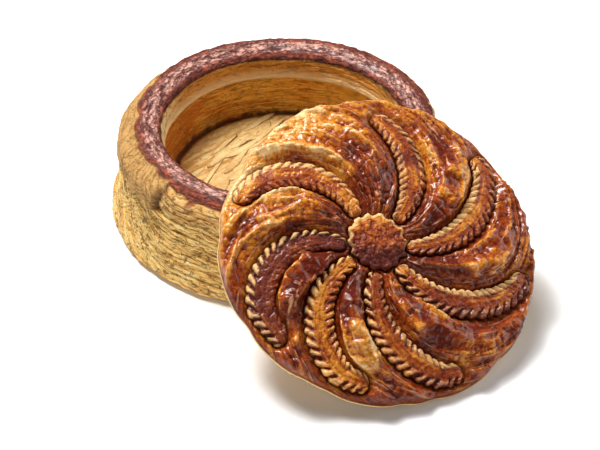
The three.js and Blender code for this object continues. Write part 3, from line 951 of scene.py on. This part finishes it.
def lobes(x, y):
    """The puffed dough between the strips, from 0 to 1."""
    out = size_of(x - PATTERN_X, y)
    angle = y.math("ARCTAN2", y, x - PATTERN_X)
    ring = smaller(larger(out, ROSETTE_RADIUS), PINWHEEL_REACH)
    angles = [strip_angle(facts, ring) for facts in STRIPS]
    swell = 0.0
    for i, start in enumerate(angles):
        gap = part_of_turn(angles[(i + 1) % len(angles)], start) - 2 * STRIP_HALF_SPREAD
        across = part_of_turn(angle, start + STRIP_HALF_SPREAD) / gap
        wave = sine(smaller(across, 1.0) * math.pi)
        swell = wave * wave + swell
    return swell * smooth(out, *LOBE_RISES) * (1 - smooth(size_of(x, y), *LOBE_ENDS))


def lid_top(x, y):
    """The height of the lid's top, in mm."""
    share = smaller(size_of(x, y) / LID_RADIUS, 1.0)
    return LID_CROWN + (LID_EDGE - LID_CROWN) * share ** DOME_POWER + lobes(x, y) * LOBE_HEIGHT


print("the lid's top rises from", LID_EDGE, "to", LID_CROWN, "mm, and its lobes by", LOBE_HEIGHT, "mm")

# %% [markdown]
# ## The strips
# The strips are ribbons of dough cut with a fluted wheel, laid on the lid and baked with it. A curve
# with a bevel could follow the arc, but its section would keep one shape, without beads. Here a strip
# is a closed tube: its columns go round a cushion-shaped section and its rows along the arc. Its width
# swells and tapers like a crescent, and a row of beads along both edges is what the wheel left. One
# tree makes all seven, each with its own arc and its own place in the noise.

# %% The strips' sizes
strip_sizes = {
    "Columns": 60, "Rows": 280, **STRIPS[0], "Seed": 0.0, "Glaze": strip_glaze, "Width": 17.0,
    "Edge height": 3.6, "Crown height": 3.8, "Bead pitch": 5.4, "Bead depth": 1.5, "Bead height": 2.4,
    "Sink": 0.6,
}
STRIP_TAPER = (0.14, 0.8)
STRIP_CAP = 0.05
EDGE_MARGIN = 3.0
LOOK_AHEAD = 0.004
# The direction on the lid of the lit side: each strip is painted paler on that side and darker on the
# other
PAINTED_LIT_SIDE = (-0.39, 0.92)
SECTION_POWER = 4.5
TOP_SHARE = 0.8
SEED_STEP = 7.3
print("a strip is about", strip_sizes["Width"], "mm wide")

# %% A strip's line, section and beads
def strip_length(size):
    return size["Arc"] * (size["End"] - size["Start"])


def strip_middle(along, size, half):
    """The middle of a strip at a share of its arc. Near the lid's edge it bends to follow the edge."""
    arc = between(size["Start"], size["End"], along)
    x, y = size["Reach"] + size["Arc"] * cosine(arc), size["Arc"] * sine(arc)
    turn = size["Towards"]
    turned_x = x * cosine(turn) - y * sine(turn) + PATTERN_X
    turned_y = x * sine(turn) + y * cosine(turn)
    keep = smaller((LID_RADIUS - EDGE_MARGIN - half) / size_of(turned_x, turned_y), 1.0)
    return turned_x * keep, turned_y * keep


def strip_section(around):
    """The cushion's section: the side, from -1 to 1, how far that is from the middle, and the rise."""
    over = smaller(around / TOP_SHARE, 1.0)
    under = larger(around - TOP_SHARE, 0.0) / (1 - TOP_SHARE)
    turn = (over + under) * math.pi
    side, upper = cosine(turn), larger(sine(turn), 0.0)
    from_middle = absolute(side)
    cushion = larger(1 - from_middle ** SECTION_POWER, 0.0) ** (1 / SECTION_POWER)
    return side, from_middle, cushion * upper.math("SIGN", upper)


def beads(along, side, size):
    """The fluted edge: 1 on top of a bead and 0 between two, and how strong it is there."""
    sway = (noise(along * 9, size["Seed"], 0.0) - 0.5) * 1.2
    beat = along * strip_length(size) / size["Bead pitch"] + absolute(side) * 1.2 + sway
    uneven = 0.5 + noise(along * 14, size["Seed"], side) * 0.9
    strength = between(size["Outer beads"], size["Inner beads"], smooth(side, -0.5, 0.5)) * uneven
    return absolute(sine(beat * math.pi)), strength


print("the fluted wheel's teeth are", strip_sizes["Bead pitch"], "mm apart")

# %% The smooth strip
def strip(size):
    """One smooth strip along its arc, with its beads."""
    sheet, around, along = flat_sheet(size)
    taper = sine(between(*STRIP_TAPER, along) * math.pi)
    end = smaller(smaller(along, 1 - along) / STRIP_CAP, 1.0)
    cap = (1 - (1 - end) ** 2) ** 0.5
    half = size["Width"] * 0.5 * taper

    x, y = strip_middle(along, size, half)
    ahead_x, ahead_y = strip_middle(along + LOOK_AHEAD, size, half)
    step_x, step_y = ahead_x - x, ahead_y - y
    step = size_of(step_x, step_y)

    side, from_middle, rise = strip_section(around)
    edge = smooth(from_middle, 0.3, 0.6)
    bead, strength = beads(along, side, size)
    tooth = (bead - 0.6) * strength * edge
    reach = side * cap * (half + tooth * size["Bead depth"])
    place_x, place_y = x - step_y / step * reach, y + step_x / step * reach
    crown = between(size["Edge height"], size["Crown height"], (1 - side * side) * taper)
    lift = rise * cap * (crown + tooth * size["Bead height"]) - size["Sink"] * smaller(cap * 3, 1.0)

    # Painted light and shade across the strip: positive on its side towards the lit side, negative on the
    # other
    sheltered = (step_x * PAINTED_LIT_SIDE[1] - step_y * PAINTED_LIT_SIDE[0]) / step * side
    outer_line = between(0.5 + bead * 0.5, bead ** 1.5, size["Outer beads"])
    inner_line = (0.5 + bead * 0.5) * size["Inner beads"] * 1.4
    line = between(outer_line, inner_line, smooth(side, 0.0, 0.5))
    # The crest's cream is stronger on the lit side as a painted highlight, and the groove darkens between
    # beads as painted shade
    sheet = store(sheet, crest=smooth(from_middle, 0.35, 0.6) * line * (0.6 + sheltered * 0.4),
                  groove=edge * (1 - bead) ** 2, foot=1 - smooth(rise, 0.25, 0.6), baked=size["Baked"],
                  sheltered=sheltered * size["Far side paler"], lane=side, mile=along * strip_length(size))
    return bend(sheet, place_x, place_y, lid_top(place_x, place_y) + lift)


strip_size = new_tree("strip", strip_sizes)
strip_piece = set_down(strip(strip_size), LID_SPOT, LID_TILT)
print("the strips' tree has", len(strip_piece.tree.nodes), "nodes so far")

# %% The strips' relief, and the pieces
def strip_relief(piece, size):
    """The lumps and creases that baking left on a strip."""
    x, y, z = place_in_mm(piece)
    lumps = noise(x * 0.1, y * 0.1, z * 0.1 + size["Seed"], detail=4.0, roughness=0.6)
    creases = ridges(noise(x * 0.16, y * 0.16, z * 0.16 + size["Seed"]), 14)
    return push(store(piece, lump=lumps), (lumps - 0.5) * 2.4 - creases * 0.5)


strip_tree = end_tree(strip_relief(strip_piece, strip_size), strip_size["Glaze"])
strips = [run_tree(strip_tree, f"strip_{i + 1}", {**strip_sizes, **facts, "Seed": SEED_STEP * i})
          for i, facts in enumerate(STRIPS)]

# %% [markdown]
# ## The rosette
# A small fluted disc hides the strips' inner ends. A cylinder with a displaced edge would do, but its
# base has to follow the lid's dome. So it is turned from a short profile like the case and set on the
# shared height rule, with flutes round its edge and a top that the heat crinkled.

# %% The rosette's sizes
ROSETTE_COLUMNS = ("share", "rise", "fluted")
ROSETTE_CORNERS = [
    (0.0, -0.5, 0.0, 0),
    (0.94, -0.5, 0.7, 8),
    (1.0, 1.4, 1.0, 9),
    (0.95, 3.0, 1.0, 8),
    (0.7, 4.4, 0.4, 16),
    (0.35, 5.0, 0.1, 16),
    (0.0, 5.0, 0.0, 14),
]
rosette_line = profile_mesh("rosette_profile", ROSETTE_CORNERS, ROSETTE_COLUMNS)
rosette_sizes = {
    "Columns": 252, "Rows": len(rosette_line.data.vertices), "Profile": rosette_line,
    "Glaze": rosette_glaze, "Radius": ROSETTE_RADIUS, "Flutes": 14.0, "Flute depth": 0.9, "Baked": 0.5,
    "Far side paler": 0.9,
}
# Turns, in radians, that bring the pale edge and the pale side to the disc's far side, as painted light
FAR_EDGE_TURN, FAR_SIDE_TURN = 0.2, 0.3

# %% The rosette's tree
def rosette_disc(size):
    """The smooth rosette, with its flutes."""
    sheet, around, along = flat_sheet(size)
    line = read_profile(size, along, ROSETTE_COLUMNS)
    angle = around * TAU
    flute = sine(angle * size["Flutes"]) * size["Flute depth"] * line["fluted"]
    radius = line["share"] * size["Radius"] + flute
    x, y = radius * cosine(angle) + PATTERN_X, radius * sine(angle)
    # The pale crest and the paler side face the far side as painted light, and the near side is painted
    # darker as painted shade
    far = 0.5 + 0.5 * sine(angle + FAR_EDGE_TURN)
    sheltered = sine(angle + FAR_SIDE_TURN) * line["share"]
    sheet = store(sheet, crest=line["fluted"] * smooth(line["share"], 0.75, 0.98) * far,
                  baked=size["Baked"], sheltered=sheltered * size["Far side paler"])
    return bend(sheet, x, y, lid_top(x, y) + line["rise"])


def rosette_relief(piece):
    """The lumps and crinkles of the rosette."""
    spot = place_in_mm(piece)
    lumps = clouds(spot, 0.12, detail=4.0, roughness=0.65)
    crinkles = ridges(clouds(spot, 0.15), 11)
    # The crinkles' grooves are stored to darken the rosette's tone as painted shade
    piece = store(piece, lump=lumps, groove=crinkles * 0.5)
    return push(piece, (lumps - 0.5) * 7.0 - crinkles * 0.7)


rosette_size = new_tree("rosette", rosette_sizes)
rosette_piece = set_down(rosette_disc(rosette_size), LID_SPOT, LID_TILT)
rosette_tree = end_tree(rosette_relief(rosette_piece), rosette_size["Glaze"])
rosette = run_tree(rosette_tree, "rosette_disc", rosette_sizes)

# %% [markdown]
# ## The lid's pleats
# As the dough between two strips rose, its skin gathered into pleats, and these catch the light. They
# could be drawn as curves by hand, but they run along the pinwheel, so a rule can lay them: each lobe
# gets two, one in each half of its width, and each is a line that keeps its share of the way to the
# next strip as it goes out. A fixed seed picks the share, the start and the length.

# %% The lid's pleats
PLEAT_SEED, PLEAT_STEPS = 5, 5
PLEAT_SHARES = ((0.3, 0.48), (0.52, 0.7))
PLEAT_START = (38.0, 60.0)
PLEAT_LENGTH = (14.0, 30.0)


def lobe_point(i, share, out):
    """A place in the lobe after a strip, a share of the way to the next one and a distance out."""
    first, second = [facts["Towards"] - math.acos(cosine_to_strip(facts, out))
                     for facts in (STRIPS[i], STRIPS[(i + 1) % len(STRIPS)])]
    towards = first + (second - first) % TAU * share
    return PATTERN_X + out * math.cos(towards), out * math.sin(towards), 0.0


def pleat_mesh(name):
    """The pleats' lines as a mesh of edges."""
    dice = random.Random(PLEAT_SEED)
    points, edges = [], []
    for i in range(len(STRIPS)):
        for shares in PLEAT_SHARES:
            share = dice.uniform(*shares)
            start = dice.uniform(*PLEAT_START)
            end = min(start + dice.uniform(*PLEAT_LENGTH), PINWHEEL_REACH)
            edges += [(len(points) + step, len(points) + step + 1) for step in range(PLEAT_STEPS)]
            points += [lobe_point(i, share, start + (end - start) * step / PLEAT_STEPS)
                       for step in range(PLEAT_STEPS + 1)]
    mesh = bpy.data.meshes.new(name)
    mesh.from_pydata(points, edges, [])
    return linked(name, mesh)


pleat_lines = pleat_mesh("pleat_lines")
print(len(pleat_lines.data.edges) // PLEAT_STEPS, "pleats")

# %% [markdown]
# ## The lid
# The lid is a disc of dough that puffed up where no strip held it down. A Displace modifier could push
# it out, but it knows nothing of the strips. In a tree, Geometry Proximity gives the distance to them,
# which sinks a crease beside each one and lets the dough between them swell. The glaze wrinkled along
# the pinwheel as the dough rose, so the noise for the folds is stretched along the strips' arcs.

# %% The lid's profile and sizes
LID_COLUMNS = ("share", "rise", "on_top", "border")
LID_CORNERS = [
    (0.0, 0.0, 0, 1, 0),
    (0.9, 0.0, 0, 1, 9),
    (0.965, 0.05, 0, 1, 5),
    (0.992, 0.25, 0, 1, 5),
    (1.0, 0.45, 0, 1, 4),
    (0.998, 0.6, 0, 0.5, 3),
    (0.988, 0.85, 0.2, 0.1, 5),
    (0.965, 1.0, 1, 0, 5),
    (0.0, 1.0, 1, 0, 125),
]
lid_line = profile_mesh("lid_profile", LID_CORNERS, LID_COLUMNS)
toppings = bpy.data.collections.new("toppings")
for topping in (*strips, rosette):
    toppings.objects.link(topping)
lid_sizes = {
    "Columns": 560, "Rows": len(lid_line.data.vertices), "Profile": lid_line, "Toppings": toppings,
    "Glaze": lid_glaze, "Edge swell": 1.5, "Notch depth": 1.6, "Flat depth": 4.0, "Fold depth": 2.6,
    "Blister depth": 4.0, "Pillow": 3.8, "Pleats": pleat_lines, "Pleat width": 2.8, "Pleat height": 2.4,
    "Wrinkle depth": 0.9, "Crease depth": 1.2, "Leaf pitch": 1.3, "Leaf depth": 0.7,
}

# %% The smooth lid
NOTCH_AWAY, NOTCH_WIDTH = radians(14, 5)
FLAT_AT, FLAT_WIDTH = radians(125, 28)
# The arc along which the folds of the glaze run, like one more strip
FOLDS = {"Reach": 52.0, "Arc": 46.0, "Towards": 0.0}
PLEAT_SWAY = 12
# The direction of the pale side, and how far out along it the paler half and the pale edge begin.
# They are partly the dough's own pale gold and partly painted light
PALE_EDGE = (-0.5, 0.87)
PALE_HALF_FROM, PALE_EDGE_FROM = (15.0, 80.0), (112.0, 134.0)


def dent(angle, at, width):
    """A soft dent round an angle, 1 at its middle."""
    return bell((part_of_turn(angle, at - math.pi) - math.pi) / width)


def strip_end(facts):
    """Direction from the pattern's middle to a strip's outer end."""
    x, y = facts["Reach"] + facts["Arc"] * math.cos(facts["End"]), facts["Arc"] * math.sin(facts["End"])
    return facts["Towards"] + math.atan2(y, x)


def pleats(x, y, size):
    """1 along the pleats' lines, which noise bends, and 0 away from them."""
    sway = (clouds((x, y, 0.0), 0.07) - 0.5) * PLEAT_SWAY
    drawn = shape_of(size["Pleats"])
    away = drawn.node("GeometryNodeProximity", {"target_element": "EDGES"},
                      {0: drawn, "Sample Position": vector(x + sway, y - sway, 0.0)}, output="Distance")
    return bell(away / size["Pleat width"])


def lid_disc(size):
    """The smooth lid, notched beside the strips' ends and flatter on one side."""
    sheet, around, along = flat_sheet(size)
    line = read_profile(size, along, LID_COLUMNS)
    angle = around * TAU
    notches = [strip_end(facts) + away for facts in STRIPS for away in (-NOTCH_AWAY, NOTCH_AWAY)]
    pinch = sum(dent(angle, at, NOTCH_WIDTH) for at in notches)
    edge = LID_RADIUS + size["Edge swell"] - size["Notch depth"] * pinch
    edge = edge - size["Flat depth"] * dent(angle, FLAT_AT, FLAT_WIDTH)
    lean = cosine(angle) * PATTERN_X
    reach = ((lean * lean + edge * edge - PATTERN_X ** 2) ** 0.5 - lean) * line["share"]
    x, y = reach * cosine(angle) + PATTERN_X, reach * sine(angle)

    out = larger(size_of(x - PATTERN_X, y), ROSETTE_RADIUS)
    turn = angle - strip_angle(FOLDS, smaller(out, FOLDS["Reach"] + FOLDS["Arc"]))
    height = between(line["rise"] * LID_EDGE, lid_top(x, y), line["on_top"])
    towards = y * PALE_EDGE[1] + x * PALE_EDGE[0]
    pale_edge = smooth(towards + size_of(x, y) * 0.5, *PALE_EDGE_FROM)
    sheet = store(sheet, pleat=pleats(x, y, size), out=out, fold_x=cosine(turn), fold_y=sine(turn),
                  height=height, paler=smooth(towards, *PALE_HALF_FROM) * 0.45 + pale_edge * 0.65,
                  border=line["border"], on_top=line["on_top"])
    return bend(sheet, x, y, height)


lid_size = new_tree("lid", lid_sizes)
lid_piece = set_down(lid_disc(lid_size), LID_SPOT, LID_TILT)
print("the lid's tree has", len(lid_piece.tree.nodes), "nodes so far")

# %% The lid's relief, and the piece
# Distances from the strips and the rosette over which the dough comes free, sinks, darkens and swells
FREE_FROM, CREASE_WIDTH, CONTACT_WIDTH, PILLOW_WIDTH = (0.4, 5.0), (0.0, 2.6), (0.1, 1.3), 11
DARKEST_SPOT, SPOT_FADES = (-47.0, -141.0), (12.0, 36.0)
DARK_MIDDLE_FADES = (30.0, 75.0)


def distance_to_toppings(piece, size):
    """The distance to the nearest strip or the rosette, in mm."""
    held = piece.node("GeometryNodeCollectionInfo", {"transform_space": "ORIGINAL"},
                      {"Collection": size["Toppings"]})
    solid = held.node("GeometryNodeRealizeInstances", inputs={0: held})
    away = solid.node("GeometryNodeProximity", {"target_element": "FACES"}, {0: solid}, output="Distance")
    return away / MM


def darker(x, y, out):
    """How much deeper the lid browned round its middle and at its darkest spot."""
    spot_x, spot_y = DARKEST_SPOT
    spot = 1 - smooth(size_of(x - spot_x, y - spot_y), *SPOT_FADES)
    return larger((1 - smooth(out, *DARK_MIDDLE_FADES)) * 0.2, spot * 0.36)


def lid_relief(piece, size):
    """The folds, blisters, pleats and creases of the lid's top, and its cut edge."""
    spot = place_in_mm(piece)
    out, fold_x, fold_y = recall(piece, "out"), recall(piece, "fold_x"), recall(piece, "fold_y")
    on_top, pleat = recall(piece, "on_top"), recall(piece, "pleat")
    away = distance_to_toppings(piece, size)
    free = smooth(away, *FREE_FROM) * on_top
    crease = (1 - smooth(away, *CREASE_WIDTH)) * on_top
    contact = (1 - smooth(away, *CONTACT_WIDTH)) * on_top
    puffed = 1 - (1 - smaller(away / PILLOW_WIDTH, 1.0)) ** 2

    fold = ridges(noise(fold_x * 5, fold_y * 5, out * 0.035, detail=1.5), 8) ** 1.5
    blister = clouds(spot, 0.055) - 0.5
    wrinkle = ridges(clouds(spot, 0.13), 16)
    count = (recall(piece, "height") + (clouds(spot, 0.03) - 0.5) * 4) / size["Leaf pitch"]
    lip = 1 - across_leaf(count) ** 4

    # The tone is lighter on folds, pleats and blisters and darker in wrinkles: partly browning, partly
    # painted light and shade that follow the relief
    lines = (fold - 0.35) * 0.35 + pleat * 0.4 - wrinkle * 0.25
    # Paler towards the far edge, partly pale dough and partly painted light
    slow = 0.4 - darker(spot[0], spot[1], out) + recall(piece, "paler") * 0.6
    relief = slow + free * (blister * 0.6 + lines)
    piece = store(piece, relief=relief, crease=crease, contact=contact, leaf=lip)
    return push(piece, free * (fold * size["Fold depth"] + blister * size["Blister depth"]
                               + pleat * size["Pleat height"] - wrinkle * size["Wrinkle depth"])
                + puffed * on_top * size["Pillow"] - crease * size["Crease depth"]
                + (lip - 0.6) * size["Leaf depth"] * smooth(recall(piece, "border"), 0.85, 1.0))


lid_tree = end_tree(lid_relief(lid_piece, lid_size), lid_size["Glaze"])
lid = run_tree(lid_tree, "lid_crust", lid_sizes)

# %% [markdown]
# ## Join the pieces to the frame
# The profiles, the pleats' lines and the collection were only tools, so they go. Each piece stands for
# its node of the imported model, which then isn't shown, and rides on the one body.

# %% Clear the helpers away
for helper in (case_line, rosette_line, lid_line, pleat_lines):
    bpy.data.objects.remove(helper)
bpy.data.collections.remove(toppings)
print("helpers cleared away")

# %% Join the pieces to the frame
def join(piece, slot, *nodes):
    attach(piece, "root")
    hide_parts(*nodes)
    print(piece.name, "stands for", *nodes)


join(case, "case_crust", "case")
join(leaves, "case_crust", "case")
join(lid, "lid_crust", "lid")
join(rosette, "rosette_crust", "rosette")
for i, piece in enumerate(strips):
    join(piece, "crescent_crust", f"crescent_{i + 1}")

# %% [markdown]
# ## Stage and light
# A white floor catches the shadow. One strong sun would give hard edges, and an even sky no sheen, so
# the light comes from four lamps and a weak, warm sky. A wide lamp behind and to the left lets the
# lid's shadow fall towards the viewer's right, and a smaller one beside it puts the glints on the
# glaze. A wide lamp low on the right and a weak one in front keep the shadows from going black.

# %% Floor
FLOOR_HALF, FLOOR_DROP = 4.0, 0.0005
FLOOR_WHITE, FLOOR_ROUGHNESS = (0.93, 0.93, 0.93, 1), 0.9

floor_mesh = bpy.data.meshes.new("floor")
floor_corners = [(x * FLOOR_HALF, y * FLOOR_HALF, 0) for x, y in ((-1, -1), (1, -1), (1, 1), (-1, 1))]
floor_mesh.from_pydata(floor_corners, [], [(0, 1, 2, 3)])
floor = linked("floor", floor_mesh)
floor.location.z = -FLOOR_DROP
paper = bpy.data.materials.new("white_floor")
paper.use_nodes = True
paper_shader = paper.node_tree.nodes["Principled BSDF"]
plug(paper_shader.inputs["Base Color"], FLOOR_WHITE)
plug(paper_shader.inputs["Roughness"], FLOOR_ROUGHNESS)
floor_mesh.materials.append(paper)
print("floor", 2 * FLOOR_HALF, "m wide")

# %% Sky
SKY_HORIZON, SKY_ZENITH, SKY_FADES = 0.12, 0.0, (0.25, 0.85)
SKY_COLOUR = (1.0, 0.94, 0.85, 1)

sky = bpy.data.worlds.new("sky")
sky.use_nodes = True
background = sky.node_tree.nodes["Background"]
_, _, sky_up = parts(Wire(sky.node_tree).node("ShaderNodeTexCoord", output="Generated"))
plug(background.inputs["Strength"], between(SKY_HORIZON, SKY_ZENITH, smooth(sky_up, *SKY_FADES)))
plug(background.inputs["Color"], SKY_COLOUR)
bpy.context.scene.world = sky
print("the sky's strength is", SKY_HORIZON, "near the ground")

# %% Lamps
# Where each lamp stands and aims, its width in metres and its power in watts
LAMPS = {
    "key": ((-0.2, 0.62, 1.45), (0, -0.05, 0), 0.9, 25),
    "glint": ((-0.3, 0.65, 1.4), (0, -0.05, 0), 0.4, 18),
    "fill": ((1.3, -0.25, 0.5), (0, -0.05, 0.03), 1.2, 10),
    "front": ((-0.9, -1.2, 0.9), (0, -0.05, 0.03), 1.2, 6),
}
for name, (spot, aim, width, watts) in LAMPS.items():
    light = bpy.data.lights.new(name, "AREA")
    light.size = width
    light.energy = watts
    lamp = linked(name, light)
    lamp.location = spot
    lamp.rotation_euler = (Vector(aim) - Vector(spot)).to_track_quat("-Z", "Y").to_euler()
bpy.context.scene.view_settings.view_transform = "Standard"
print(len(LAMPS), "lamps")
